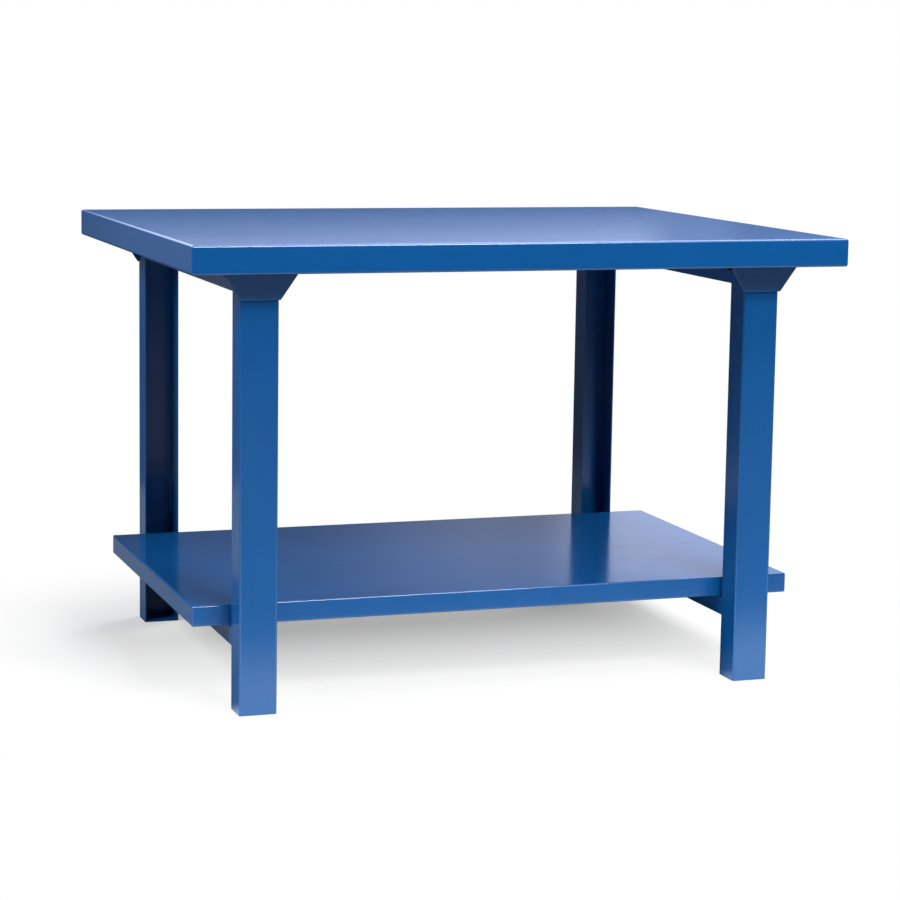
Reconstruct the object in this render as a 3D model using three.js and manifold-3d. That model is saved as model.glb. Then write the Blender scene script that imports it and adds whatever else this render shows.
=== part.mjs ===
// Assembly table: a folded sheet-steel worktop on four channel legs, with a storage shelf below.
// Millimetres. +X runs along the table, +Y from its front to its back, +Z up, and the floor is z = 0.
// The origin is on the floor, under the middle of the worktop.

import * as THREE from 'three';
import { mergeVertices } from 'three/addons/utils/BufferGeometryUtils.js';
import Module from 'manifold-3d';

const wasm = await Module();
wasm.setup();

// Overall size
const tableLength = 1250;
const tableDepth = 1000;
const tableHeight = 850;

// Worktop pan: the lips turn down, then inwards as a return
const worktopEdgeHeight = 52;
const worktopSheet = 2.5;
const worktopBendInside = 2.5;
const worktopReturnWidth = 22;

// Stiffeners under the worktop and the shelf: channels that lie open side up against the sheet
const worktopStiffenerWidth = 70;
const shelfStiffenerWidth = 60;
const stiffenerSheet = 2;
const stiffenerBendInside = 2;
const stiffenerEndClearance = 2;

// Legs: channels with the web outwards and the open side towards the middle of the table
const legFaceWidth = 70;
const legFlangeDepth = 60;
const legWall = 3;
const legBendInside = 2;
const legEndInset = 105;
const legFrontInset = 75;

// Foot plates, welded inside the lower end of the legs
const footPlateThickness = 4;
const footPlateCornerClearance = 0.5;

// Head brackets: a flat head under the worktop and a face that leans out and flares to it
const bracketPlate = 4;
const bracketBendInside = 2;
const bracketDrop = 51;
const bracketLean = 6;
const bracketWing = 31;
const bracketFootOverlap = 1.5;

// Cross beams: channels with the open side down, as wide as the legs that they join
const beamWall = 3;
const beamBendInside = 2;
const upperBeamHeight = 40;
const lowerBeamHeight = 35;

// Shelf pan, between the front and the rear legs
const shelfTopHeight = 190;
const shelfEdgeHeight = 38;
const shelfSheet = 2;
const shelfBendInside = 1.5;
const shelfReturnWidth = 25;
const shelfEndOverhang = 70;
const shelfLegClearance = 10;

// Open mitres where the returns of two lips meet
const mitreGap = 1.5;

// Flange bolts and weld nuts, sized from their thread
const worktopBoltThread = 10;
const shelfBoltThread = 8;
const boltHeadAcross = 1.5;
const boltHeadHeight = 0.7;
const boltFlangeAcross = 2.1;
const boltFlangeHeight = 0.2;
const boltTipProud = 2;
const nutAcross = 1.7;
const nutHeight = 0.8;
const boltHoleClearance = 0.5;
const nutThreadClearance = 0.3;

// Facets: segments along a sheet bend and round a bolt hole
const bendSegments = 4;
const roundSegments = 16;

// Levels and places worked out from the sizes above
const worktopBottom = tableHeight - worktopEdgeHeight;
const shelfBottom = shelfTopHeight - shelfEdgeHeight;
const legLength = worktopBottom - bracketPlate;
const legCentreX = tableLength / 2 - legEndInset - legFaceWidth / 2;
const legFaceY = tableDepth / 2 - legFrontInset;
const beamSpan = 2 * (legFaceY - legFlangeDepth);
const headBoltY = legFaceY - legFlangeDepth / 2;
const shelfLength = 2 * legCentreX + legFaceWidth + 2 * shelfEndOverhang;
const shelfDepth = beamSpan - 2 * shelfLegClearance;
const shelfReturnFlat = (shelfSheet + shelfBendInside + shelfReturnWidth) / 2;
const shelfBoltY = shelfDepth / 2 - shelfReturnFlat;

// Materials
const bluePaint = new THREE.MeshStandardMaterial({ color: 0x1d57a6, roughness: 0.32, metalness: 0 });
const blackedSteel = new THREE.MeshStandardMaterial({ color: 0x2e3034, roughness: 0.45, metalness: 1 });

// Solids: closed geometry to a body that can be cut and joined, and back again
function toSolid(geometry) {
  const bare = geometry.clone();
  bare.deleteAttribute('normal');
  bare.deleteAttribute('uv');
  const merged = mergeVertices(bare);
  const vertProperties = new Float32Array(merged.attributes.position.array);
  const triVerts = new Uint32Array(merged.index.array);
  return new wasm.Manifold(new wasm.Mesh({ numProp: 3, vertProperties, triVerts }));
}

function toGeometry(solid) {
  const { vertProperties, triVerts } = solid.getMesh();
  const indexed = new THREE.BufferGeometry();
  indexed.setAttribute('position', new THREE.BufferAttribute(vertProperties, 3));
  indexed.setIndex(new THREE.BufferAttribute(triVerts, 1));
  const geometry = indexed.toNonIndexed();
  geometry.computeVertexNormals();
  return geometry;
}

// Extrusions of a flat outline, each centred on the axis that it runs along
const axisX = new THREE.Vector3(1, 0, 0);
const axisY = new THREE.Vector3(0, 1, 0);
const axisZ = new THREE.Vector3(0, 0, 1);

function extrude(outline, length) {
  return new THREE.ExtrudeGeometry(outline, {
    depth: length,
    bevelEnabled: false,
    curveSegments: bendSegments / 2,
  });
}

// The outline's first axis becomes Y and its second Z
function alongX(outline, length) {
  const turned = new THREE.Matrix4().makeBasis(axisY, axisZ, axisX);
  return extrude(outline, length).applyMatrix4(turned).translate(-length / 2, 0, 0);
}

// The outline's first axis becomes X and its second Z
function alongY(outline, length) {
  const turned = new THREE.Matrix4().makeBasis(axisX, axisZ, axisY.clone().negate());
  return extrude(outline, length).applyMatrix4(turned).translate(0, length / 2, 0);
}

function box(width, depth, height) {
  return new THREE.BoxGeometry(width, depth, height);
}

// An upright cylinder from z = low to z = high
function post(radius, low, high) {
  const height = high - low;
  const geometry = new THREE.CylinderGeometry(radius, radius, height, roundSegments);
  return geometry.rotateX(Math.PI / 2).translate(0, 0, low + height / 2);
}

function drill(solid, thread, spots, low, high) {
  const hole = post(thread / 2 + boltHoleClearance, low, high);
  return spots.reduce((rest, [x, y]) => rest.subtract(toSolid(hole.clone().translate(x, y, 0))), solid);
}

// Outlines

// A rectangle that stands on y = 0, with the same radius at each corner
function roundedRectangle(width, height, radius) {
  const half = width / 2;
  const outline = new THREE.Shape();
  outline.moveTo(-half + radius, 0);
  outline.lineTo(half - radius, 0);
  outline.absarc(half - radius, radius, radius, -Math.PI / 2, 0, false);
  outline.lineTo(half, height - radius);
  outline.absarc(half - radius, height - radius, radius, 0, Math.PI / 2, false);
  outline.lineTo(-half + radius, height);
  outline.absarc(-half + radius, height - radius, radius, Math.PI / 2, Math.PI, false);
  outline.lineTo(-half, radius);
  outline.absarc(-half + radius, radius, radius, Math.PI, 1.5 * Math.PI, false);
  return outline;
}

// A channel whose web lies on y = 0 and whose flanges reach up to y = depth
function channel(width, depth, wall, bendInside) {
  const half = width / 2;
  const outer = wall + bendInside;
  const bendX = half - outer;
  const outline = new THREE.Shape();
  outline.moveTo(-bendX, 0);
  outline.lineTo(bendX, 0);
  outline.absarc(bendX, outer, outer, -Math.PI / 2, 0, false);
  outline.lineTo(half, depth);
  outline.lineTo(half - wall, depth);
  outline.lineTo(half - wall, outer);
  outline.absarc(bendX, outer, bendInside, 0, -Math.PI / 2, true);
  outline.lineTo(-bendX, wall);
  outline.absarc(-bendX, outer, bendInside, -Math.PI / 2, -Math.PI, true);
  outline.lineTo(-half + wall, depth);
  outline.lineTo(-half, depth);
  outline.lineTo(-half, outer);
  outline.absarc(-bendX, outer, outer, Math.PI, 1.5 * Math.PI, false);
  return outline;
}

// A hexagon with two of its flats square to Y
function hexagon(across) {
  const corner = across / Math.sqrt(3);
  const outline = new THREE.Shape();
  for (let side = 0; side < 6; side += 1) {
    const angle = (side * Math.PI) / 3;
    const point = [corner * Math.cos(angle), corner * Math.sin(angle)];
    if (side === 0) outline.moveTo(...point);
    else outline.lineTo(...point);
  }
  outline.closePath();
  return outline;
}

// A pan folded from one sheet: its lips are bent down from the top and returned inwards at the bottom
function foldedPan({ length, depth, height, sheet, bendInside, returnWidth }) {
  const outerRadius = sheet + bendInside;
  const outerLong = toSolid(alongX(roundedRectangle(depth, height, outerRadius), length));
  const outerShort = toSolid(alongY(roundedRectangle(length, height, outerRadius), depth));
  const innerLength = length - 2 * sheet;
  const innerDepth = depth - 2 * sheet;
  const innerHeight = height - 2 * sheet;
  const innerLong = alongX(roundedRectangle(innerDepth, innerHeight, bendInside), innerLength);
  const innerShort = alongY(roundedRectangle(innerLength, innerHeight, bendInside), innerDepth);
  const hollow = toSolid(innerLong.translate(0, 0, sheet))
    .intersect(toSolid(innerShort.translate(0, 0, sheet)));
  const mouth = toSolid(box(length - 2 * returnWidth, depth - 2 * returnWidth, height));
  const pan = outerLong.intersect(outerShort).subtract(hollow).subtract(mouth);
  return openMitres(pan, length, depth, sheet, outerRadius, returnWidth);
}

// The returns of neighbouring lips stop just short of each other, on a line at 45 degrees
function openMitres(pan, length, depth, sheet, bendStart, returnWidth) {
  const reach = (returnWidth - bendStart) * Math.SQRT2;
  const middle = (returnWidth + bendStart) / 2;
  let mitred = pan;
  for (const sideX of [-1, 1]) {
    for (const sideY of [-1, 1]) {
      const slot = box(reach + mitreGap, mitreGap, 2 * sheet);
      slot.rotateZ((sideX * sideY * Math.PI) / 4);
      slot.translate(sideX * (length / 2 - middle), sideY * (depth / 2 - middle), 0);
      mitred = mitred.subtract(toSolid(slot));
    }
  }
  return mitred;
}

// Worktop, its lips standing on z = 0
function worktopPan() {
  return foldedPan({
    length: tableLength,
    depth: tableDepth,
    height: worktopEdgeHeight,
    sheet: worktopSheet,
    bendInside: worktopBendInside,
    returnWidth: worktopReturnWidth,
  });
}

// Shelf, its lips standing on z = 0, with bolt holes in the front and rear returns
function shelfPan() {
  const pan = foldedPan({
    length: shelfLength,
    depth: shelfDepth,
    height: shelfEdgeHeight,
    sheet: shelfSheet,
    bendInside: shelfBendInside,
    returnWidth: shelfReturnWidth,
  });
  const spots = [-1, 1].flatMap((sideX) => [-1, 1].map((sideY) => [sideX * legCentreX, sideY * shelfBoltY]));
  return drill(pan, shelfBoltThread, spots, -shelfSheet, 2 * shelfSheet);
}

// A stiffener along X with its web on z = 0
function stiffener(width, height, length, thread, boltPlaces) {
  const outline = channel(width, height, stiffenerSheet, stiffenerBendInside);
  const spots = boltPlaces.map((x) => [x, 0]);
  return drill(toSolid(alongX(outline, length)), thread, spots, -stiffenerSheet, 2 * stiffenerSheet);
}

// A leg standing on z = 0 with its web on y = 0
function leg() {
  return toSolid(extrude(channel(legFaceWidth, legFlangeDepth, legWall, legBendInside), legLength));
}

// The plate that closes the foot of a leg, rounded where the leg is bent
function footPlate() {
  const half = legFaceWidth / 2 - legWall;
  const radius = legBendInside + footPlateCornerClearance;
  const outline = new THREE.Shape();
  outline.moveTo(-half, legFlangeDepth);
  outline.lineTo(-half, legWall + radius);
  outline.absarc(-half + radius, legWall + radius, radius, Math.PI, 1.5 * Math.PI, false);
  outline.lineTo(half - radius, legWall);
  outline.absarc(half - radius, legWall + radius, radius, -Math.PI / 2, 0, false);
  outline.lineTo(half, legFlangeDepth);
  outline.closePath();
  return toSolid(extrude(outline, footPlateThickness));
}

// A head bracket, its head's upper face on z = 0 and the leg's web on y = 0.
// One plate is folded so that its face leans out from the leg, and cut so that it flares to the wings.
function headBracket() {
  const headWidth = legFaceWidth + 2 * bracketWing;
  const lean = Math.atan2(bracketLean, bracketDrop - bracketPlate);
  const outerRadius = bracketPlate + bracketBendInside;
  const bendZ = -outerRadius;
  const bendY = (bracketBendInside - (bracketDrop - outerRadius) * Math.sin(lean)) / Math.cos(lean);
  const faceSide = Math.PI + lean;
  const onBend = (radius) => [bendY + radius * Math.cos(faceSide), bendZ + radius * Math.sin(faceSide)];

  const fold = new THREE.Shape();
  fold.moveTo(legFlangeDepth, 0);
  fold.lineTo(bendY, 0);
  fold.absarc(bendY, bendZ, outerRadius, Math.PI / 2, faceSide, false);
  fold.lineTo(-bracketPlate / Math.cos(lean), -bracketDrop);
  fold.lineTo(0, -bracketDrop);
  fold.lineTo(...onBend(bracketBendInside));
  fold.absarc(bendY, bendZ, bracketBendInside, faceSide, Math.PI / 2, true);
  fold.lineTo(legFlangeDepth, -bracketPlate);
  fold.closePath();

  const footHalf = legFaceWidth / 2 + bracketFootOverlap;
  const headHalf = headWidth / 2;
  const flare = new THREE.Shape();
  flare.moveTo(-footHalf, -bracketDrop);
  flare.lineTo(footHalf, -bracketDrop);
  flare.lineTo(headHalf, -outerRadius);
  flare.lineTo(headHalf, 0);
  flare.lineTo(-headHalf, 0);
  flare.lineTo(-headHalf, -outerRadius);
  flare.closePath();
  const flareDepth = 2 * (legFlangeDepth + bracketLean + 2 * outerRadius);

  const plate = toSolid(alongX(fold, headWidth)).intersect(toSolid(alongY(flare, flareDepth)));
  const spots = headBoltOffsets().map((x) => [x, legFlangeDepth / 2]);
  return drill(plate, worktopBoltThread, spots, -2 * bracketPlate, bracketPlate);
}

// Bolts pass through the middle of both wings of a head bracket
function headBoltOffsets() {
  const offset = (legFaceWidth + bracketWing) / 2;
  return [-offset, offset];
}

// A cross beam along Y with the upper face of its web on z = 0
function crossBeam(height, thread, boltPlaces) {
  const outline = channel(legFaceWidth, height, beamWall, beamBendInside);
  const beam = toSolid(alongY(outline, beamSpan).rotateY(Math.PI));
  const spots = boltPlaces.map((y) => [0, y]);
  return drill(beam, thread, spots, -2 * beamWall, beamWall);
}

// A flange bolt with its head under z = 0 and its shank standing up from it
function flangeBolt(thread, grip) {
  const flangeHeight = boltFlangeHeight * thread;
  const headDepth = flangeHeight + boltHeadHeight * thread;
  const tip = grip + nutHeight * thread + boltTipProud;
  const head = extrude(hexagon(boltHeadAcross * thread), headDepth).translate(0, 0, -headDepth);
  const flange = post((boltFlangeAcross * thread) / 2, -flangeHeight, 0);
  const shank = post(thread / 2, -headDepth / 2, tip);
  return toSolid(head).add(toSolid(flange)).add(toSolid(shank));
}

// A hexagonal weld nut standing on z = 0
function weldNut(thread) {
  const height = nutHeight * thread;
  const bore = post(thread / 2 + nutThreadClearance, -height, 2 * height);
  return toSolid(extrude(hexagon(nutAcross * thread), height)).subtract(toSolid(bore));
}

// Assembly
const table = new THREE.Group();

function place(parent, name, geometry, material, x, y, z) {
  const mesh = new THREE.Mesh(geometry, material);
  mesh.name = name;
  mesh.position.set(x, y, z);
  parent.add(mesh);
}

const endNames = { '-1': 'left', '1': 'right' };

function addWorktop() {
  const height = worktopEdgeHeight - worktopSheet;
  const length = tableLength - 2 * (worktopReturnWidth + stiffenerEndClearance);
  const overLegs = [-1, 1].flatMap((side) => headBoltOffsets().map((x) => side * legCentreX + x));
  const overBeams = [-legCentreX, legCentreX];
  const build = (places) =>
    toGeometry(stiffener(worktopStiffenerWidth, height, length, worktopBoltThread, places));
  const outerStiffener = build(overLegs);
  place(table, 'worktop_pan', toGeometry(worktopPan()), bluePaint, 0, 0, worktopBottom);
  place(table, 'worktop_stiffener_front', outerStiffener, bluePaint, 0, -headBoltY, worktopBottom);
  place(table, 'worktop_stiffener_middle', build(overBeams), bluePaint, 0, 0, worktopBottom);
  place(table, 'worktop_stiffener_rear', outerStiffener, bluePaint, 0, headBoltY, worktopBottom);
}

// A corner group holds a leg with its web on the group's y = 0; the rear ones are turned to face back
function addCorners() {
  const legGeometry = toGeometry(leg());
  const plateGeometry = toGeometry(footPlate());
  const bracketGeometry = toGeometry(headBracket());
  const corners = [
    { name: 'front_left', x: -legCentreX, y: -legFaceY, turn: 0 },
    { name: 'front_right', x: legCentreX, y: -legFaceY, turn: 0 },
    { name: 'rear_left', x: -legCentreX, y: legFaceY, turn: Math.PI },
    { name: 'rear_right', x: legCentreX, y: legFaceY, turn: Math.PI },
  ];
  for (const { name, x, y, turn } of corners) {
    const corner = new THREE.Group();
    corner.position.set(x, y, 0);
    corner.rotation.z = turn;
    place(corner, `leg_${name}`, legGeometry, bluePaint, 0, 0, 0);
    place(corner, `foot_plate_${name}`, plateGeometry, bluePaint, 0, 0, 0);
    place(corner, `head_bracket_${name}`, bracketGeometry, bluePaint, 0, 0, worktopBottom);
    table.add(corner);
  }
}

function addBeams() {
  const upper = toGeometry(crossBeam(upperBeamHeight, worktopBoltThread, [0]));
  const lower = toGeometry(crossBeam(lowerBeamHeight, shelfBoltThread, [-shelfBoltY, 0, shelfBoltY]));
  for (const side of [-1, 1]) {
    place(table, `upper_cross_beam_${endNames[side]}`, upper, bluePaint, side * legCentreX, 0, worktopBottom);
    place(table, `lower_cross_beam_${endNames[side]}`, lower, bluePaint, side * legCentreX, 0, shelfBottom);
  }
}

function addShelf() {
  const height = shelfEdgeHeight - shelfSheet;
  const length = shelfLength - 2 * (shelfReturnWidth + stiffenerEndClearance);
  const places = [-legCentreX, legCentreX];
  const middle = stiffener(shelfStiffenerWidth, height, length, shelfBoltThread, places);
  place(table, 'shelf_pan', toGeometry(shelfPan()), bluePaint, 0, 0, shelfBottom);
  place(table, 'shelf_stiffener', toGeometry(middle), bluePaint, 0, 0, shelfBottom);
}

// A bolt and its nut clamp two plates that meet at z = seam: one below it and one above it
function addFastener(name, geometry, x, y, seam, below, above) {
  place(table, `${name}_bolt`, geometry.bolt, blackedSteel, x, y, seam - below);
  place(table, `${name}_nut`, geometry.nut, blackedSteel, x, y, seam + above);
}

function fastenerGeometry(thread, below, above) {
  return { bolt: toGeometry(flangeBolt(thread, below + above)), nut: toGeometry(weldNut(thread)) };
}

function addFasteners() {
  const bracketBolt = fastenerGeometry(worktopBoltThread, bracketPlate, stiffenerSheet);
  const beamBolt = fastenerGeometry(worktopBoltThread, beamWall, stiffenerSheet);
  const shelfStiffenerBolt = fastenerGeometry(shelfBoltThread, beamWall, stiffenerSheet);
  const shelfReturnBolt = fastenerGeometry(shelfBoltThread, beamWall, shelfSheet);
  const rows = { '-1': 'front', '1': 'rear' };
  for (const side of [-1, 1]) {
    const end = endNames[side];
    const x = side * legCentreX;
    addFastener(`worktop_middle_${end}`, beamBolt, x, 0, worktopBottom, beamWall, stiffenerSheet);
    addFastener(`shelf_middle_${end}`, shelfStiffenerBolt, x, 0, shelfBottom, beamWall, stiffenerSheet);
    for (const row of [-1, 1]) {
      const corner = `${rows[row]}_${end}`;
      addFastener(`shelf_${corner}`, shelfReturnBolt, x, row * shelfBoltY, shelfBottom, beamWall, shelfSheet);
      headBoltOffsets().forEach((offset, wing) => {
        const name = `worktop_${corner}_${wing === 0 ? 'a' : 'b'}`;
        const y = row * headBoltY;
        addFastener(name, bracketBolt, x + offset, y, worktopBottom, bracketPlate, stiffenerSheet);
      });
    }
  }
}

addWorktop();
addCorners();
addBeams();
addShelf();
addFasteners();

export default table;
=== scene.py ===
"""Looks of the assembly table: folded sheet steel under glossy blue stove enamel.

Metres, in the frame of the CAD model: +X along the table, +Y from its front to its back, +Z up,
with the floor at z = 0. The camera stands at the front left corner.
"""

import math

import bmesh
import bpy
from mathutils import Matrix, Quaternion, Vector


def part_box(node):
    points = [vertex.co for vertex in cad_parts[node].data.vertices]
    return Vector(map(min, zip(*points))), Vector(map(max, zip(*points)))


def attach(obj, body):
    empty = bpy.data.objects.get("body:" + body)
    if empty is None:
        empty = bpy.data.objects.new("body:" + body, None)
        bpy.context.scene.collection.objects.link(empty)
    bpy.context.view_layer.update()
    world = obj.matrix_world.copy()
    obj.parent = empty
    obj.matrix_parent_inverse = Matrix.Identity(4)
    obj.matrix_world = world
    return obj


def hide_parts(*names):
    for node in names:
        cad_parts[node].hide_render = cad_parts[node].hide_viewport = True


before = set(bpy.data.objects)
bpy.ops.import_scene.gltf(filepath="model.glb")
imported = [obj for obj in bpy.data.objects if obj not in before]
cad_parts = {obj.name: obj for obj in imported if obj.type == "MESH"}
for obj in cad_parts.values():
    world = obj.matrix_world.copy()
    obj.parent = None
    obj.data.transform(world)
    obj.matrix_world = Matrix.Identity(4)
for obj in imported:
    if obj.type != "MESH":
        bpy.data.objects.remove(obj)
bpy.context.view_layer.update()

MM = 0.001
AXIS_X = Vector((1, 0, 0))
AXIS_Y = Vector((0, 1, 0))
AXIS_Z = Vector((0, 0, 1))

# Sheet and bends of the worktop and the shelf
WORKTOP_SHEET = 2.5 * MM
WORKTOP_BEND = 2.5 * MM
WORKTOP_RETURN = 22 * MM
SHELF_SHEET = 2 * MM
SHELF_BEND = 1.5 * MM
SHELF_RETURN = 25 * MM
STIFFENER_SHEET = 2 * MM
STIFFENER_BEND = 2 * MM
PAN_CORNER = 3 * MM
PAN_INNER_CORNER = 0.3 * MM
MITRE_GAP = 1.5 * MM

# Sheet and bends of the frame
FRAME_WALL = 3 * MM
FRAME_BEND = 2 * MM
FOOT_CORNER = 2.5 * MM
BRACKET_PLATE = 4 * MM
BRACKET_BEND = 2 * MM
BRACKET_LEAN = 6 * MM
BRACKET_FOOT_OVERLAP = 1.5 * MM
BRACKET_DEBURR = 0.6 * MM
BRACKET_DEBURR_STEPS = 3
CUT_EDGE = 0.6 * MM

# Steps along a bend, a cut edge and the upright corner of a pan, and round a bolt
BEND_STEPS = 8
CUT_EDGE_STEPS = 3
CORNER_STEPS = 5
ROUND_STEPS = 30

# Flange bolts: the two threads, then the other sizes as shares of the thread
WORKTOP_THREAD = 10 * MM
SHELF_THREAD = 8 * MM
HEAD_ACROSS = 1.5
HEAD_HEIGHT = 0.7
HEAD_CHAMFER = 0.09
HEAD_DISH = 0.06
HEAD_NECK = 0.02
FLANGE_ACROSS = 2.1
FLANGE_RIM = 0.1
FLANGE_HEIGHT = 0.2
SHANK_LENGTH = 1.2

# Rings of the bolt's head, as shares of its half width
DISH_FLOOR = 0.6
DISH_RIM = 0.66
HEAD_FACE = 0.94
FLANGE_TOP = 1.17

# Weld beads
BEAD_RADIUS = 2.2 * MM
BEAD_RIPPLE = 2.6 * MM
BEAD_STEP = 0.65 * MM
BEAD_SIDES = 10
BEAD_TAPER = (-0.3 * BEAD_RADIUS, 2 * BEAD_RADIUS)
STITCH_LENGTH = 30 * MM
STITCH_PITCH = 150 * MM

# A bead's thickness, as shares of its radius: its base, its ripple and its slow wander
BEAD_BASE = 0.85
RIPPLE_SHARE = 0.1
WANDER_SHARE = 0.3
WANDER_SCALE = 160.0

# Edges that stay sharp, and how much the flat faces rule the shading
SHARP_ANGLE = math.radians(40)
FLAT_FACE_WEIGHT = 100

CORNERS = ("front_left", "front_right", "rear_left", "rear_right")
ENDS = ("left", "right")
ROWS = ("front", "middle", "rear")


# Shader maths: an output socket that can be used in Python expressions

class Signal:
    """One output of a node tree. Arithmetic on it adds Math nodes to the tree."""

    def __init__(self, tree, output=None):
        self.tree = tree
        self.output = output

    def node(self, kind, settings=None, sockets=None, output=0):
        """A new node: its settings first, then the values or links of its sockets."""
        node = self.tree.nodes.new(kind)
        for key, value in (settings or {}).items():
            setattr(node, key, value)
        for key, value in (sockets or {}).items():
            if isinstance(value, Signal):
                self.tree.links.new(value.output, node.inputs[key])
            else:
                node.inputs[key].default_value = value
        return Signal(self.tree, node.outputs[output])

    def math(self, operation, first, second):
        """A Math node on two values, each a signal or a number."""
        return self.node("ShaderNodeMath", {"operation": operation}, {0: first, 1: second})

    def __add__(self, other):
        return self.math("ADD", self, other)

    def __radd__(self, other):
        return self.math("ADD", other, self)

    def __sub__(self, other):
        return self.math("SUBTRACT", self, other)

    def __rsub__(self, other):
        return self.math("SUBTRACT", other, self)

    def __mul__(self, other):
        return self.math("MULTIPLY", self, other)

    def __rmul__(self, other):
        return self.math("MULTIPLY", other, self)

    def noise(self, scale, detail=2.0):
        """Noise from 0 to 1 over this vector, with scale features to the metre."""
        return self.node("ShaderNodeTexNoise", None, {"Vector": self, "Scale": scale, "Detail": detail})

    def ramp(self, low, high):
        """0 before low, 1 past high and smooth between them. Low may be the larger of the two."""
        settings = {"interpolation_type": "SMOOTHSTEP"}
        return self.node("ShaderNodeMapRange", settings, {"Value": self, "From Min": low, "From Max": high})

    def axes(self):
        """X, Y and Z of this vector."""
        split = self.node("ShaderNodeSeparateXYZ", None, {0: self}).output.node
        return [Signal(self.tree, output) for output in split.outputs]

    def mixed(self, low, high):
        """The colour low where this is 0 and high where it is 1."""
        settings = {"data_type": "RGBA"}
        return self.node("ShaderNodeMix", settings, {0: self, 6: low, 7: high}, output=2)


def new_material(name):
    """A material with an empty tree, a start for its expressions and its output node."""
    material = bpy.data.materials.new(name)
    material.use_nodes = True
    tree = material.node_tree
    tree.nodes.clear()
    output = tree.nodes.new("ShaderNodeOutputMaterial")
    return material, Signal(tree), output


def srgb(red, green, blue):
    """A colour given in display values from 0 to 255, as the linear RGBA that sockets take."""
    def linear(value):
        share = value / 255
        return share / 12.92 if share <= 0.04045 else ((share + 0.055) / 1.055) ** 2.4
    return (linear(red), linear(green), linear(blue), 1.0)


# Finishes: noise scales are features to the metre

MOTTLE_SCALE = 9.0
MOTTLE_RANGE = (0.3, 0.7)
MOTTLE_SHARE = 0.6
GRAIN_SCALE = 420.0
DUST_SCALE = 38.0
DUST_RANGE = (0.45, 0.8)
DUST_SLOPE = (0.6, 0.95)
DUST_COLOUR = srgb(150, 160, 178)
DUST_ROUGHNESS = 0.5
GLOSS_SCALE = 60.0
GLOSS_SPREAD = 0.06
PEEL_SCALE = 330.0
PEEL_HEIGHT = 0.4 * MM
PEEL_STRENGTH = 0.05
WAVE_SCALE = 5.0
WAVE_HEIGHT = 1.5 * MM
WAVE_STRENGTH = 0.25
ENAMEL_IOR = 1.6

OXIDE_DARK = srgb(38, 39, 43)
OXIDE_RUBBED = srgb(74, 75, 79)
OXIDE_ROUGHNESS = 0.36
GRIT_SCALE = 600.0
GRIT_SPREAD = 0.2
GRIT_HEIGHT = 0.1 * MM
GRIT_STRENGTH = 0.2
RUB_SCALE = 140.0
RUB_RANGE = (0.55, 0.8)


def stove_enamel(name, shade, deep, gloss, dusty):
    """Glossy blue enamel: a little mottled, with orange peel, the sheet's slow waves and faint dust."""
    material, start, output = new_material(name)
    place = start.node("ShaderNodeTexCoord", output=3)
    facing_up = start.node("ShaderNodeNewGeometry", output=1).axes()[2].ramp(*DUST_SLOPE)

    mottle = place.noise(MOTTLE_SCALE, 3.0)
    grain = place.noise(GRAIN_SCALE, 2.0)
    tone = mottle.ramp(*MOTTLE_RANGE) * MOTTLE_SHARE + grain * (1 - MOTTLE_SHARE)
    paint = tone.mixed(deep, shade)
    dust = (place.noise(DUST_SCALE, 6.0).ramp(*DUST_RANGE) * facing_up) * dusty
    colour = dust.mixed(paint, DUST_COLOUR)

    roughness = gloss + place.noise(GLOSS_SCALE, 4.0) * GLOSS_SPREAD + dust * DUST_ROUGHNESS
    peel = start.node("ShaderNodeBump", None, {
        "Strength": PEEL_STRENGTH,
        "Distance": PEEL_HEIGHT,
        "Height": place.noise(PEEL_SCALE, 1.0),
    })
    waves = start.node("ShaderNodeBump", None, {
        "Strength": WAVE_STRENGTH,
        "Distance": WAVE_HEIGHT,
        "Height": place.noise(WAVE_SCALE, 1.0),
        "Normal": peel,
    })
    surface = start.node("ShaderNodeBsdfPrincipled", None, {
        "Base Color": colour,
        "Roughness": roughness,
        "IOR": ENAMEL_IOR,
        "Normal": waves,
    })
    material.node_tree.links.new(surface.output, output.inputs["Surface"])
    return material


def blacked_steel(name):
    """Steel under black oxide: near black, a little rough, rubbed brighter in small patches."""
    material, start, output = new_material(name)
    place = start.node("ShaderNodeTexCoord", output=3)
    grit = place.noise(GRIT_SCALE, 2.0)
    rubbed = place.noise(RUB_SCALE, 3.0).ramp(*RUB_RANGE)
    colour = rubbed.mixed(OXIDE_DARK, OXIDE_RUBBED)
    roughness = OXIDE_ROUGHNESS + grit * GRIT_SPREAD
    bump = start.node("ShaderNodeBump", None, {
        "Strength": GRIT_STRENGTH,
        "Distance": GRIT_HEIGHT,
        "Height": grit,
    })
    surface = start.node("ShaderNodeBsdfPrincipled", None, {
        "Base Color": colour,
        "Roughness": roughness,
        "Metallic": 1.0,
        "Normal": bump,
    })
    material.node_tree.links.new(surface.output, output.inputs["Surface"])
    return material


worktop_enamel = stove_enamel(
    "worktop_enamel", shade=srgb(12, 84, 148), deep=srgb(10, 80, 142), gloss=0.14, dusty=0.015,
)
frame_enamel = stove_enamel(
    "frame_enamel", shade=srgb(14, 84, 147), deep=srgb(12, 80, 141), gloss=0.14, dusty=0.0,
)
shelf_enamel = stove_enamel(
    "shelf_enamel", shade=srgb(12, 84, 148), deep=srgb(10, 80, 142), gloss=0.12, dusty=0.015,
)
black_oxide = blacked_steel("blacked_steel")


# Meshes

def arc(centre, radius, start, end, steps):
    """Points on an arc from start to end, in degrees, both ends included."""
    turns = [math.radians(start + (end - start) * step / steps) for step in range(steps + 1)]
    return [(centre[0] + radius * math.cos(turn), centre[1] + radius * math.sin(turn)) for turn in turns]


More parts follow.
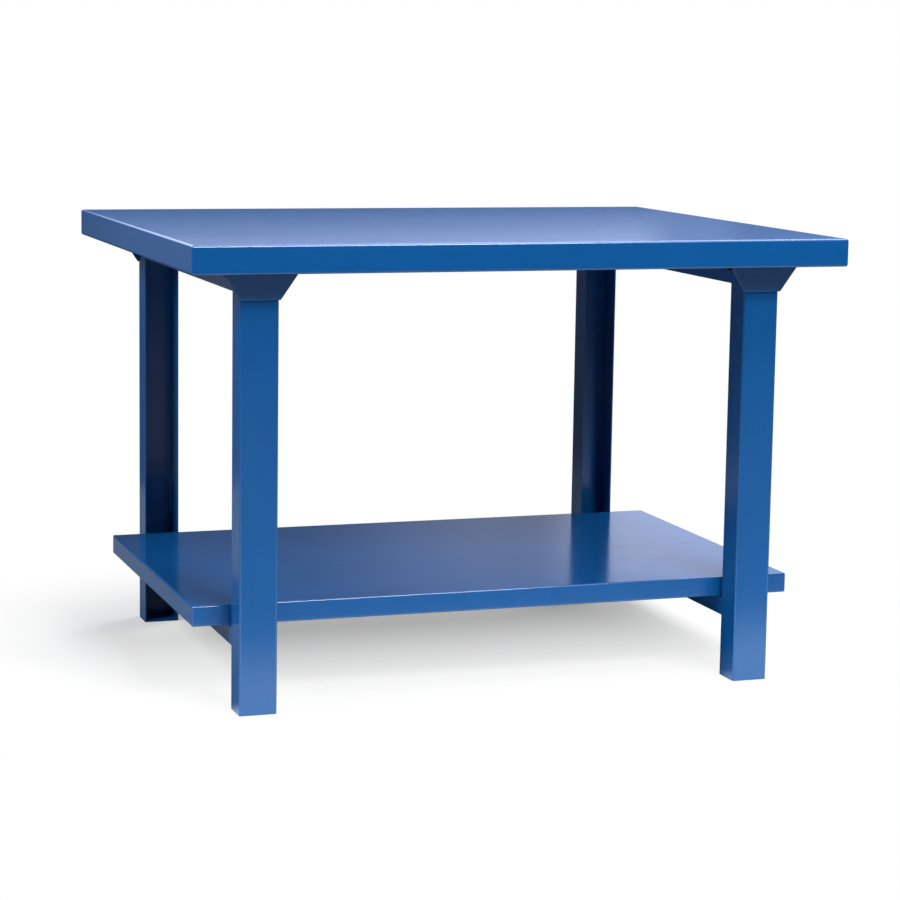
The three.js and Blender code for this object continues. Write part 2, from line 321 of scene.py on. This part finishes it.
def new_piece(name, shape, material, slot):
    """An object at the origin from a bmesh, with its normals out and the material's slot named."""
    bmesh.ops.recalc_face_normals(shape, faces=shape.faces)
    mesh = bpy.data.meshes.new(name)
    shape.to_mesh(mesh)
    shape.free()
    piece = bpy.data.objects.new(name, mesh)
    bpy.context.scene.collection.objects.link(piece)
    mesh.materials.append(material)
    piece["slot_name"] = slot
    return piece


def bake_modifiers(piece):
    """Turns the piece and its modifiers into a plain mesh."""
    depsgraph = bpy.context.evaluated_depsgraph_get()
    mesh = bpy.data.meshes.new_from_object(piece.evaluated_get(depsgraph))
    piece.modifiers.clear()
    piece.data = mesh


def seat(piece, *nodes):
    """Smooths a finished piece, then sets it on the table in place of the nodes that it stands for."""
    piece.data.shade_smooth()
    piece.data.set_sharp_from_angle(angle=SHARP_ANGLE)
    weighted = piece.modifiers.new("even_faces", "WEIGHTED_NORMAL")
    weighted.keep_sharp = True
    weighted.weight = FLAT_FACE_WEIGHT
    bake_modifiers(piece)
    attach(piece, "root")
    if nodes:
        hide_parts(*nodes)


def bridge(shape, first, second):
    """Quads between two closed loops of as many points."""
    count = len(first)
    for index in range(count):
        following = (index + 1) % count
        shape.faces.new((first[index], first[following], second[following], second[index]))


def extruded(name, outline, origin, across, out, along, material, slot):
    """A closed outline of (across, out) points, swept along a vector."""
    shape = bmesh.new()
    flat = [origin + across * u + out * v for u, v in outline]
    near = [shape.verts.new(point) for point in flat]
    far = [shape.verts.new(point + along) for point in flat]
    bridge(shape, near, far)
    shape.faces.new(near)
    shape.faces.new(far)
    return new_piece(name, shape, material, slot)


def channel_outline(width, depth, wall, bend):
    """A folded channel: its web lies on out = 0, its flanges reach to out = depth with rounded edges."""
    half = width / 2
    outer = wall + bend
    bend_centre = (half - outer, outer)
    right = [
        *arc(bend_centre, outer, -90, 0, BEND_STEPS),
        *arc((half - CUT_EDGE, depth - CUT_EDGE), CUT_EDGE, 0, 90, CUT_EDGE_STEPS),
        *arc((half - wall + CUT_EDGE, depth - CUT_EDGE), CUT_EDGE, 90, 180, CUT_EDGE_STEPS),
        *arc(bend_centre, bend, 0, -90, BEND_STEPS),
    ]
    return right + [(-u, v) for u, v in reversed(right)]


# Worktop and shelf: pans folded from one sheet

def pan_section(height, sheet, bend, lip_return):
    """(inset, z) along the sheet: its outside down and in along the return, then its inside back up."""
    outer = sheet + bend
    outside = [
        *[(inset, height - drop) for inset, drop in arc((outer, outer), outer, -90, -180, BEND_STEPS)],
        *[(inset, z) for inset, z in arc((outer, outer), outer, 180, 270, BEND_STEPS)],
    ]
    cut = [
        *arc((lip_return - CUT_EDGE, CUT_EDGE), CUT_EDGE, -90, 0, CUT_EDGE_STEPS),
        *arc((lip_return - CUT_EDGE, sheet - CUT_EDGE), CUT_EDGE, 0, 90, CUT_EDGE_STEPS),
    ]
    inside = [
        *[(inset, z) for inset, z in arc((outer, outer), bend, 270, 180, BEND_STEPS)],
        *[(inset, height - drop) for inset, drop in arc((outer, outer), bend, -180, -90, BEND_STEPS)],
    ]
    return outside + cut + inside


def rounded_loop(shape, low, high, inset, z):
    """A rectangle set in from the pan's outside, rounded at its upright corners."""
    radius = max(PAN_CORNER - inset, PAN_INNER_CORNER)
    left, right = low.x + inset + radius, high.x - inset - radius
    front, rear = low.y + inset + radius, high.y - inset - radius
    quarters = [((right, rear), 0), ((left, rear), 90), ((left, front), 180), ((right, front), 270)]
    loop = []
    for centre, start in quarters:
        for x, y in arc(centre, radius, start, start + 90, CORNER_STEPS):
            loop.append(shape.verts.new((x, y, low.z + z)))
    return loop


def folded_pan(name, node, sheet, bend, lip_return, material, slot):
    """A pan with its lips turned down and returned inwards, the returns' mitres left open."""
    low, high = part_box(node)
    shape = bmesh.new()
    section = pan_section(high.z - low.z, sheet, bend, lip_return)
    loops = [rounded_loop(shape, low, high, inset, z) for inset, z in section]
    for first, second in zip(loops, loops[1:]):
        bridge(shape, first, second)
    shape.faces.new(loops[0])
    shape.faces.new(loops[-1])
    pan = new_piece(name, shape, material, slot)
    open_mitres(pan, low, high, sheet, sheet + bend, lip_return)
    seat(pan, node)


def open_mitres(pan, low, high, sheet, bend_start, lip_return):
    """Cuts the gap between the returns of neighbouring lips, on a line at 45 degrees."""
    shape = bmesh.new()
    cutter_height = AXIS_Z * 3 * sheet
    reach = (lip_return - bend_start) * math.sqrt(2) + MITRE_GAP
    middle = (lip_return + bend_start) / 2
    for x, side_x in ((low.x + middle, 1), (high.x - middle, -1)):
        for y, side_y in ((low.y + middle, 1), (high.y - middle, -1)):
            along = Vector((side_x, side_y, 0)).normalized() * reach / 2
            across = Vector((-side_y, side_x, 0)).normalized() * MITRE_GAP / 2
            base = Vector((x, y, low.z - sheet))
            sides = ((along, across), (-along, across), (-along, -across), (along, -across))
            flat = [base + forth + aside for forth, aside in sides]
            lower = [shape.verts.new(point) for point in flat]
            upper = [shape.verts.new(point + cutter_height) for point in flat]
            bridge(shape, lower, upper)
            shape.faces.new(lower)
            shape.faces.new(upper)
    cutter = new_piece("mitre_cutter", shape, pan.data.materials[0], "")
    cut = pan.modifiers.new("open_mitres", "BOOLEAN")
    cut.operation = "DIFFERENCE"
    cut.object = cutter
    bake_modifiers(pan)
    bpy.data.objects.remove(cutter)


def stiffener(name, node, material, slot):
    """A channel along X, open side up against the sheet above it."""
    low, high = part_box(node)
    outline = channel_outline(high.y - low.y, high.z - low.z, STIFFENER_SHEET, STIFFENER_BEND)
    origin = Vector((low.x, (low.y + high.y) / 2, low.z))
    along = AXIS_X * (high.x - low.x)
    piece = extruded(name, outline, origin, AXIS_Y, AXIS_Z, along, material, slot)
    seat(piece, node)


def make_worktop():
    """The worktop pan and the three channels under it."""
    folded_pan("worktop_sheet", "worktop_pan", WORKTOP_SHEET, WORKTOP_BEND, WORKTOP_RETURN,
               worktop_enamel, "worktop_paint")
    for row in ROWS:
        stiffener(f"worktop_channel_{row}", f"worktop_stiffener_{row}", worktop_enamel, "worktop_paint")


def make_shelf():
    """The shelf pan and the channel under it."""
    folded_pan("shelf_sheet", "shelf_pan", SHELF_SHEET, SHELF_BEND, SHELF_RETURN,
               shelf_enamel, "shelf_paint")
    stiffener("shelf_channel", "shelf_stiffener", shelf_enamel, "shelf_paint")


# Frame: legs, foot plates, head brackets and cross beams

def inward(corner):
    """From a leg's web towards the middle of the table."""
    return AXIS_Y if corner.startswith("front") else -AXIS_Y


def web_middle(corner):
    """The middle of a leg's web, on its outer face, at the floor."""
    low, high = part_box(f"leg_{corner}")
    y = low.y if corner.startswith("front") else high.y
    return Vector(((low.x + high.x) / 2, y, 0))


def make_leg(corner):
    """An open channel that stands with its web outwards."""
    node = f"leg_{corner}"
    low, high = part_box(node)
    outline = channel_outline(high.x - low.x, high.y - low.y, FRAME_WALL, FRAME_BEND)
    along = AXIS_Z * (high.z - low.z)
    piece = extruded(f"leg_channel_{corner}", outline, web_middle(corner), AXIS_X, inward(corner), along,
                     frame_enamel, "frame_paint")
    seat(piece, node)


def make_foot_plate(corner):
    """The plate that closes a leg at the floor, rounded where the leg is bent."""
    node = f"foot_plate_{corner}"
    low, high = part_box(node)
    half = (high.x - low.x) / 2
    depth = high.y - low.y
    right = [*arc((half - FOOT_CORNER, FOOT_CORNER), FOOT_CORNER, -90, 0, BEND_STEPS), (half, depth)]
    outline = right + [(-u, v) for u, v in reversed(right)]
    origin = web_middle(corner) + inward(corner) * FRAME_WALL
    piece = extruded(f"foot_closing_plate_{corner}", outline, origin, AXIS_X, inward(corner),
                     AXIS_Z * (high.z - low.z), frame_enamel, "frame_paint")
    seat(piece, node)


def bracket_stations(drop, flange_depth):
    """Matching (out, z) points on the two faces of a bracket's plate, from its foot up to its head."""
    lean = math.atan2(BRACKET_LEAN, drop - BRACKET_PLATE)
    outer = BRACKET_PLATE + BRACKET_BEND
    bend_out = (BRACKET_BEND - (drop - outer) * math.sin(lean)) / math.cos(lean)
    sweep = (180 + math.degrees(lean), 90)
    outside = arc((bend_out, -outer), outer, *sweep, BEND_STEPS)
    inside = arc((bend_out, -outer), BRACKET_BEND, *sweep, BEND_STEPS)
    foot = ((-BRACKET_PLATE / math.cos(lean), -drop), (0, -drop))
    head = ((flange_depth, 0), (flange_depth, -BRACKET_PLATE))
    return [foot, *zip(outside, inside), head]


def make_head_bracket(corner):
    """A plate folded so that its face leans out from the leg, and cut so that it flares to the head."""
    node = f"head_bracket_{corner}"
    low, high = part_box(node)
    leg_low, leg_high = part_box(f"leg_{corner}")
    drop = high.z - low.z
    head_half = (high.x - low.x) / 2
    foot_half = (leg_high.x - leg_low.x) / 2 + BRACKET_FOOT_OVERLAP
    flare_top = -(BRACKET_PLATE + BRACKET_BEND)

    def half_width(z):
        share = min((z + drop) / (flare_top + drop), 1)
        return foot_half + (head_half - foot_half) * share

    base = web_middle(corner) + AXIS_Z * high.z
    shape = bmesh.new()
    rings = []
    for outside, inside in bracket_stations(drop, leg_high.y - leg_low.y):
        ring = []
        for side, (out, z) in ((-1, outside), (1, outside), (1, inside), (-1, inside)):
            point = base + AXIS_X * (side * half_width(z)) + inward(corner) * out + AXIS_Z * z
            ring.append(shape.verts.new(point))
        rings.append(ring)
    for first, second in zip(rings, rings[1:]):
        bridge(shape, first, second)
    shape.faces.new(rings[0])
    shape.faces.new(rings[-1])
    piece = new_piece(f"bracket_plate_{corner}", shape, frame_enamel, "frame_paint")
    edges = piece.modifiers.new("deburred_edges", "BEVEL")
    edges.width = BRACKET_DEBURR
    edges.segments = BRACKET_DEBURR_STEPS
    edges.limit_method = "ANGLE"
    edges.angle_limit = SHARP_ANGLE
    bake_modifiers(piece)
    seat(piece, node)


def make_cross_beam(level, end):
    """A channel along Y with its open side down."""
    node = f"{level}_cross_beam_{end}"
    low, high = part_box(node)
    outline = channel_outline(high.x - low.x, high.z - low.z, FRAME_WALL, FRAME_BEND)
    origin = Vector(((low.x + high.x) / 2, low.y, high.z))
    piece = extruded(f"{level}_beam_channel_{end}", outline, origin, AXIS_X, -AXIS_Z,
                     AXIS_Y * (high.y - low.y), frame_enamel, "frame_paint")
    seat(piece, node)


def make_frame():
    """Legs, foot plates and head brackets at the four corners, and the beams across both ends."""
    for corner in CORNERS:
        make_leg(corner)
        make_foot_plate(corner)
        make_head_bracket(corner)
    for end in ENDS:
        make_cross_beam("upper", end)
        make_cross_beam("lower", end)


make_worktop()
make_shelf()
make_frame()


# Fasteners and welds: repeats made by geometry nodes

def geometry_tree(name, inputs):
    """A tree with named inputs after the geometry that comes in, and a start for its expressions."""
    tree = bpy.data.node_groups.new(name, "GeometryNodeTree")
    tree.interface.new_socket("Geometry", in_out="INPUT", socket_type="NodeSocketGeometry")
    for label, kind in inputs.items():
        tree.interface.new_socket(label, in_out="INPUT", socket_type=kind)
    tree.interface.new_socket("Geometry", in_out="OUTPUT", socket_type="NodeSocketGeometry")
    entry = tree.nodes.new("NodeGroupInput")
    given = {socket.name: Signal(tree, socket) for socket in entry.outputs if socket.name}
    return tree, Signal(tree), given


def close_tree(tree, start, shape, material):
    """Ends a tree as a plain mesh with one material."""
    plain = start.node("GeometryNodeRealizeInstances", None, {0: shape})
    painted = start.node("GeometryNodeSetMaterial", None, {"Geometry": plain, "Material": material})
    leave = tree.nodes.new("NodeGroupOutput")
    tree.links.new(painted.output, leave.inputs[0])


def grow(name, seed_points, seed_edges, tree, inputs, material, slot):
    """Runs a tree on points or edges and returns the plain mesh as a piece."""
    mesh = bpy.data.meshes.new(name)
    mesh.from_pydata(seed_points, seed_edges, [])
    piece = bpy.data.objects.new(name, mesh)
    bpy.context.scene.collection.objects.link(piece)
    piece["slot_name"] = slot
    grown = piece.modifiers.new("grown", "NODES")
    grown.node_group = tree
    for item in tree.interface.items_tree:
        if item.in_out == "INPUT" and item.name in inputs:
            grown[item.identifier] = inputs[item.name]
    bake_modifiers(piece)
    piece.data.materials.clear()
    piece.data.materials.append(material)
    return piece


def bolt_ring(shape, radius, z, hexed=False):
    """A ring of a bolt: round, or a hexagon whose flats are the radius from the axis."""
    ring = []
    for step in range(ROUND_STEPS):
        turn = 2 * math.pi * step / ROUND_STEPS
        from_flat = (turn + math.pi / 6) % (math.pi / 3) - math.pi / 6
        reach = radius / math.cos(from_flat) if hexed else radius
        ring.append(shape.verts.new((reach * math.cos(turn), reach * math.sin(turn), z)))
    return ring


def flange_bolt(thread):
    """A flange bolt under z = 0: chamfered hexagon head, sloping flange and a plain shank above."""
    flat = HEAD_ACROSS * thread / 2
    flange = FLANGE_ACROSS * thread / 2
    under = -FLANGE_HEIGHT * thread
    head = under - HEAD_HEIGHT * thread
    shape = bmesh.new()
    rings = [
        bolt_ring(shape, DISH_FLOOR * flat, head + HEAD_DISH * thread),
        bolt_ring(shape, DISH_RIM * flat, head),
        bolt_ring(shape, HEAD_FACE * flat, head),
        bolt_ring(shape, flat, head + HEAD_CHAMFER * thread, hexed=True),
        bolt_ring(shape, flat, under - HEAD_NECK * thread, hexed=True),
        bolt_ring(shape, FLANGE_TOP * flat, under),
        bolt_ring(shape, flange, -FLANGE_RIM * thread),
        bolt_ring(shape, flange, 0),
        bolt_ring(shape, thread / 2, 0),
        bolt_ring(shape, thread / 2, SHANK_LENGTH * thread),
    ]
    for first, second in zip(rings, rings[1:]):
        bridge(shape, first, second)
    shape.faces.new(rings[0])
    shape.faces.new(rings[-1])
    return new_piece("bolt_pattern", shape, black_oxide, "black_steel")


def bolt_tree():
    """A bolt on each point, turned to wherever it came tight."""
    inputs = {"Bolt": "NodeSocketObject", "Seed": "NodeSocketInt"}
    tree, start, given = geometry_tree("bolts_on_points", inputs)
    bolt = start.node("GeometryNodeObjectInfo", None, {"Object": given["Bolt"]}, output="Geometry")
    sixth = {"Max": math.pi / 3, "Seed": given["Seed"]}
    turn = start.node("FunctionNodeRandomValue", None, sixth, output="Value")
    rotation = start.node("ShaderNodeCombineXYZ", None, {"Z": turn})
    sockets = {"Points": given["Geometry"], "Instance": bolt, "Rotation": rotation}
    close_tree(tree, start, start.node("GeometryNodeInstanceOnPoints", None, sockets), black_oxide)
    return tree


def make_bolts(level, thread, seed):
    """All the bolts of one size, each in the place of its CAD node."""
    nodes = [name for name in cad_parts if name.startswith(level) and name.endswith("_bolt")]
    points = []
    for node in sorted(nodes):
        low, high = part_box(node)
        middle = (low + high) / 2
        points.append((middle.x, middle.y, low.z + (FLANGE_HEIGHT + HEAD_HEIGHT) * thread))
    bolt = flange_bolt(thread)
    inputs = {"Bolt": bolt, "Seed": seed}
    piece = grow(f"{level}_flange_bolts", points, [], bolt_tree(), inputs, black_oxide, "black_steel")
    bpy.data.objects.remove(bolt)
    seat(piece, *nodes)


def weld_tree(material):
    """A rippled bead along each edge, tapered at both ends."""
    inputs = {"Radius": "NodeSocketFloat", "Ripple": "NodeSocketFloat", "Step": "NodeSocketFloat"}
    tree, start, given = geometry_tree("weld_beads", inputs)
    path = start.node("GeometryNodeMeshToCurve", None, {0: given["Geometry"]})
    steps = {"Curve": path, "Length": given["Step"]}
    fine = start.node("GeometryNodeResampleCurve", {"mode": "LENGTH"}, steps)
    along = start.node("GeometryNodeSplineParameter", output="Length")
    whole = start.node("GeometryNodeSplineLength", output="Length")
    wave = start.node("ShaderNodeMath", {"operation": "SINE"}, {0: along * (2 * math.pi / BEAD_RIPPLE)})
    ends = along.ramp(*BEAD_TAPER) * (whole - along).ramp(*BEAD_TAPER)
    wander = start.node("GeometryNodeInputPosition").noise(WANDER_SCALE, 1.0)
    size = (BEAD_BASE + wave * given["Ripple"] + wander * WANDER_SHARE) * ends * given["Radius"]
    ring = start.node("GeometryNodeCurvePrimitiveCircle", None, {"Resolution": BEAD_SIDES, "Radius": 1.0})
    sockets = {"Curve": fine, "Profile Curve": ring, "Scale": size, "Fill Caps": True}
    close_tree(tree, start, start.node("GeometryNodeCurveToMesh", None, sockets), material)
    return tree


def make_welds(name, paths, material, slot):
    """Beads along paths of two or more points."""
    points = []
    edges = []
    for path in paths:
        first = len(points)
        points.extend(path)
        edges.extend((first + step, first + step + 1) for step in range(len(path) - 1))
    inputs = {"Radius": BEAD_RADIUS, "Ripple": RIPPLE_SHARE, "Step": BEAD_STEP}
    piece = grow(name, points, edges, weld_tree(material), inputs, material, slot)
    seat(piece)


def frame_weld_paths():
    """Where brackets, beams and foot plates are welded to the legs."""
    paths = []
    for corner in CORNERS:
        leg_low, leg_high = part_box(f"leg_{corner}")
        web = web_middle(corner)
        half = (leg_high.x - leg_low.x) / 2
        inner = half - FRAME_WALL
        depth = leg_high.y - leg_low.y
        into = inward(corner)
        head = web + AXIS_Z * leg_high.z
        plate = web + AXIS_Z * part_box(f"foot_plate_{corner}")[1].z
        beams = [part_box(f"{level}_cross_beam_{corner.split('_')[1]}") for level in ("upper", "lower")]
        for side in (-1, 1):
            edge = head + AXIS_X * (side * half)
            paths.append([edge + into * FRAME_WALL * 2, edge + into * (depth - FRAME_WALL)])
            seam = web + into * depth + AXIS_X * (side * inner)
            for low, high in beams:
                bottom = AXIS_Z * (low.z + FRAME_WALL)
                top = AXIS_Z * (high.z - 2 * FRAME_WALL)
                paths.append([seam + bottom, seam + top])
        open_side = depth - FRAME_WALL
        rim = [(-inner, open_side), (-inner, FRAME_WALL), (inner, FRAME_WALL), (inner, open_side)]
        paths.append([plate + AXIS_X * u + into * v for u, v in rim])
    return paths


def stitch_paths(node):
    """Short welds at an even pitch along both upper edges of a stiffener."""
    low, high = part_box(node)
    count = int((high.x - low.x - STITCH_LENGTH) / STITCH_PITCH)
    first = -count * STITCH_PITCH / 2
    paths = []
    for y in (low.y, high.y):
        for step in range(count + 1):
            start = Vector((first + step * STITCH_PITCH - STITCH_LENGTH / 2, y, high.z))
            paths.append([start, start + AXIS_X * STITCH_LENGTH])
    return paths


def make_fasteners_and_welds():
    """Bolts, weld beads and the finish of the CAD model's weld nuts."""
    make_bolts("worktop", WORKTOP_THREAD, seed=3)
    make_bolts("shelf", SHELF_THREAD, seed=8)
    make_welds("frame_weld_beads", frame_weld_paths(), frame_enamel, "frame_paint")
    worktop_stitches = [path for row in ROWS for path in stitch_paths(f"worktop_stiffener_{row}")]
    make_welds("worktop_stitch_welds", worktop_stitches, worktop_enamel, "worktop_paint")
    make_welds("shelf_stitch_welds", stitch_paths("shelf_stiffener"), shelf_enamel, "shelf_paint")
    for name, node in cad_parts.items():
        if name.endswith("_nut"):
            node.data.materials.clear()
            node.data.materials.append(black_oxide)


make_fasteners_and_welds()


# Studio: pale floor, soft light and the camera

CAMERA_PLACE = Vector((-1.6160, -4.7225, 1.1755))
CAMERA_HEADING = 0.3329
CAMERA_LOOK_DOWN = 0.1385
CAMERA_ROLL = -0.0152
CAMERA_LENS = 101.53
CAMERA_SENSOR = 36
CAMERA_SHIFT_Y = -0.0444

WHITE = (1, 1, 1, 1)
BLACK = (0, 0, 0, 1)
ROOM_LEVEL = 0.035

# Floor, in metres: where the paper, the painted pools of light on it and the painted lift of the table's
# shadow start and end
FLOOR_REACH = 14
PAPER_EDGE = 1.3
PAPER_COLOUR = (0.86, 0.86, 0.86, 1)
DIM_FLOOR_COLOUR = (0.15, 0.15, 0.15, 1)
FRONT_POOL_OUTER = (-1.1, -0.55)
FRONT_POOL_INNER = (-0.32, -0.44)
LEFT_POOL_OUTER = (-1.5, -1.1)
LEFT_POOL_INNER = (-0.5, -0.65)
LEFT_POOL_SHARE = 0.05
PAINTED_POOL_COLOUR = (1.6, 2.0, 2.1, 1)
POOL_SHARE = 0.5
SHADOW_FADE = (0.75, -0.6)
SHADOW_REACH = (0.6, 1.15)
SHADOW_LIFT = 0.08

# Wall, in metres: the stretches along X and Z over which its light changes, and the light that each adds;
# this light is painted reflection, a glow seen only in the enamel
WALL_Y = 2.0
WALL_LEFT = -5
WALL_RIGHT = 6
WALL_HEIGHT = 3
WALL_COLOUR = (1.82, 1.95, 2.55, 1)
FULL_LIGHT = 2.0
SHELF_LIGHT = 0.05
SHELF_STEPS = (((-0.5, 0.1), 0.07), ((0.2, 0.9), 0.26), ((0.95, 1.3), 0.62))
WORKTOP_BAND = (0.72, 0.86)
WORKTOP_LIGHT = 0.035
WORKTOP_SLANT = 0.03
WORKTOP_RISE = (1.12, 1.2)
WORKTOP_GLOW = 1.25
WORKTOP_END = (1.25, 1.4)
END_LIGHT = 0.065
END_FADE = (1.65, 1.5)
END_GLOW = 0.1
LEFT_END = (-0.75, -1.1)
LEFT_LIGHT = 0.03
LEFT_RISE = (0.42, 0.6)
LEFT_GLOW = 0.11
CEILING_RISE = (1.25, 1.5)
CEILING_GLOW = 1.3


def make_camera():
    """The photograph's view: from the front left, a little above the worktop."""
    data = bpy.data.cameras.new("photo_camera")
    camera = bpy.data.objects.new("photo_camera", data)
    bpy.context.scene.collection.objects.link(camera)
    data.sensor_width = CAMERA_SENSOR
    data.lens = CAMERA_LENS
    data.shift_y = CAMERA_SHIFT_Y
    forward = Vector((
        math.sin(CAMERA_HEADING) * math.cos(CAMERA_LOOK_DOWN),
        math.cos(CAMERA_HEADING) * math.cos(CAMERA_LOOK_DOWN),
        -math.sin(CAMERA_LOOK_DOWN),
    ))
    camera.rotation_mode = "QUATERNION"
    camera.rotation_quaternion = forward.to_track_quat("-Z", "Y")
    camera.rotation_quaternion.rotate(Quaternion(forward, CAMERA_ROLL))
    camera.location = CAMERA_PLACE
    bpy.context.scene.camera = camera


def make_world():
    """White behind the table for the camera, and a dim even room for everything else."""
    world = bpy.data.worlds.new("studio_room")
    bpy.context.scene.world = world
    world.use_nodes = True
    tree = world.node_tree
    tree.nodes.clear()
    start = Signal(tree)
    output = tree.nodes.new("ShaderNodeOutputWorld")
    seen = start.node("ShaderNodeLightPath", output=0)
    room = start.node("ShaderNodeBackground", None, {"Color": WHITE, "Strength": ROOM_LEVEL})
    white = start.node("ShaderNodeBackground", None, {"Color": WHITE, "Strength": 1.0})
    both = start.node("ShaderNodeMixShader", None, {0: seen, 1: room, 2: white})
    tree.links.new(both.output, output.inputs["Surface"])


def stage_sheet(name, corners, material):
    """A flat sheet of the studio, which isn't part of the table."""
    mesh = bpy.data.meshes.new(name)
    mesh.from_pydata(corners, [], [range(len(corners))])
    mesh.materials.append(material)
    sheet = bpy.data.objects.new(name, mesh)
    bpy.context.scene.collection.objects.link(sheet)
    return sheet


def make_floor():
    """Pale paper that keeps the table's shadow, lifted by painted light: white to the camera, dim to the
    enamel (painted shade) but for two painted pools of light.
    """
    material, start, output = new_material("pale_floor")
    place = start.node("ShaderNodeTexCoord", output=3)
    x, y, _ = place.axes()
    distance = place.node("ShaderNodeVectorMath", {"operation": "LENGTH"}, {0: place}, output=1)
    seen = start.node("ShaderNodeLightPath", output=0)
    # Painted light: two pools where the floor glows for all but camera rays, lighting the legs' feet and
    # showing in the enamel's reflections.
    painted_front_pool = y.ramp(*FRONT_POOL_OUTER) * y.ramp(*FRONT_POOL_INNER)
    painted_left_pool = x.ramp(*LEFT_POOL_OUTER) * x.ramp(*LEFT_POOL_INNER) * LEFT_POOL_SHARE
    painted_pool = painted_front_pool + painted_left_pool
    # Painted shade: the paper's colour turns dim beyond its edge and, to all but the camera, outside the
    # pools, darkening the enamel's reflections and bounce light.
    dim = seen * distance.ramp(PAPER_EDGE, 2 * PAPER_EDGE) + (1 - seen) * (1 - painted_pool)
    matt = start.node("ShaderNodeBsdfPrincipled", None, {
        "Base Color": dim.mixed(PAPER_COLOUR, DIM_FLOOR_COLOUR),
        "Roughness": 1.0,
        "Specular IOR Level": 0.0,
    })
    light = seen.mixed(PAINTED_POOL_COLOUR, WHITE)
    white = start.node("ShaderNodeEmission", None, {"Color": light, "Strength": 1.0})
    # Painted light: to the camera, emission lifts the table's shadow, fading it towards the front and far
    # from the table.
    ahead = y.ramp(*SHADOW_FADE) * (1 - SHADOW_LIFT) + SHADOW_LIFT
    away = distance.ramp(*SHADOW_REACH)
    lift = 1 - (1 - ahead) * (1 - away)
    glow = lift * seen + (1 - seen) * painted_pool * POOL_SHARE
    both = start.node("ShaderNodeMixShader", None, {0: glow, 1: matt, 2: white})
    material.node_tree.links.new(both.output, output.inputs["Surface"])
    signs = ((-1, -1), (1, -1), (1, 1), (-1, 1))
    corners = [(side_x * FLOOR_REACH, side_y * FLOOR_REACH, 0) for side_x, side_y in signs]
    stage_sheet("floor", corners, material)


def make_painted_reflection_wall():
    """The graded wall behind the table, which shows only as reflections in the enamel: a glowing sheet, no
    lamp, whose grades paint the reflections on the shelf, the worktop and its ends.
    """
    material, start, output = new_material("graded_wall")
    x, _, z = start.node("ShaderNodeTexCoord", output=3).axes()
    # Painted reflection: the glow is graded by where it shows in the shelf, the worktop and its ends.
    shelf_level = sum((x.ramp(*stretch) * light for stretch, light in SHELF_STEPS), SHELF_LIGHT)
    past_end = x.ramp(*WORKTOP_END)
    worktop_glow = (z + x * WORKTOP_SLANT).ramp(*WORKTOP_RISE) * (1 - past_end) * WORKTOP_GLOW
    end_glow = past_end * (x.ramp(*END_FADE) * END_GLOW + END_LIGHT)
    worktop_level = worktop_glow + end_glow + WORKTOP_LIGHT
    left_glow = x.ramp(*LEFT_END) * (z.ramp(*LEFT_RISE) * LEFT_GLOW + LEFT_LIGHT)
    ceiling_glow = z.ramp(*CEILING_RISE) * CEILING_GLOW
    upper = z.ramp(*WORKTOP_BAND)
    level = shelf_level * (1 - upper) + worktop_level * upper + left_glow + ceiling_glow
    colour = (level * (1 / FULL_LIGHT)).mixed(BLACK, WALL_COLOUR)
    glow = start.node("ShaderNodeEmission", None, {"Color": colour, "Strength": 1.0})
    material.node_tree.links.new(glow.output, output.inputs["Surface"])
    foot = [(WALL_LEFT, WALL_Y, 0), (WALL_RIGHT, WALL_Y, 0)]
    head = [(WALL_RIGHT, WALL_Y, WALL_HEIGHT), (WALL_LEFT, WALL_Y, WALL_HEIGHT)]
    wall = stage_sheet("graded_wall", foot + head, material)
    wall.visible_camera = False
    wall.visible_diffuse = False
    wall.visible_shadow = False
    wall.visible_transmission = False


def soft_light(name, place, aim, width, height, power):
    """A rectangular soft box."""
    data = bpy.data.lights.new(name, "AREA")
    data.shape = "RECTANGLE"
    data.size = width
    data.size_y = height
    data.energy = power
    light = bpy.data.objects.new(name, data)
    bpy.context.scene.collection.objects.link(light)
    light.location = place
    light.rotation_mode = "QUATERNION"
    light.rotation_quaternion = (Vector(aim) - Vector(place)).to_track_quat("-Z", "Y")
    light.visible_camera = False


def make_lights():
    """Soft boxes ahead of the table, on its left and above it, and a weak one behind its right end."""
    soft_light("front_soft_box", place=(0.9, -4.0, 3.7), aim=(0, -0.2, 0.4),
               width=2.2, height=1.2, power=235)
    soft_light("left_soft_box", place=(-3.8, -0.6, 3.0), aim=(0, 0, 0.4),
               width=2.2, height=1.6, power=165)
    soft_light("overhead_soft_box", place=(1.0, -0.3, 3.3), aim=(0.3, 0, 0.8),
               width=3.2, height=2.0, power=115)
    soft_light("rear_fill_box", place=(3.6, 3.0, 3.8), aim=(0, 0, 0.4),
               width=2.0, height=2.0, power=85)


make_camera()
make_world()
make_floor()
make_painted_reflection_wall()
make_lights()
bpy.context.scene.view_settings.view_transform = "Standard"
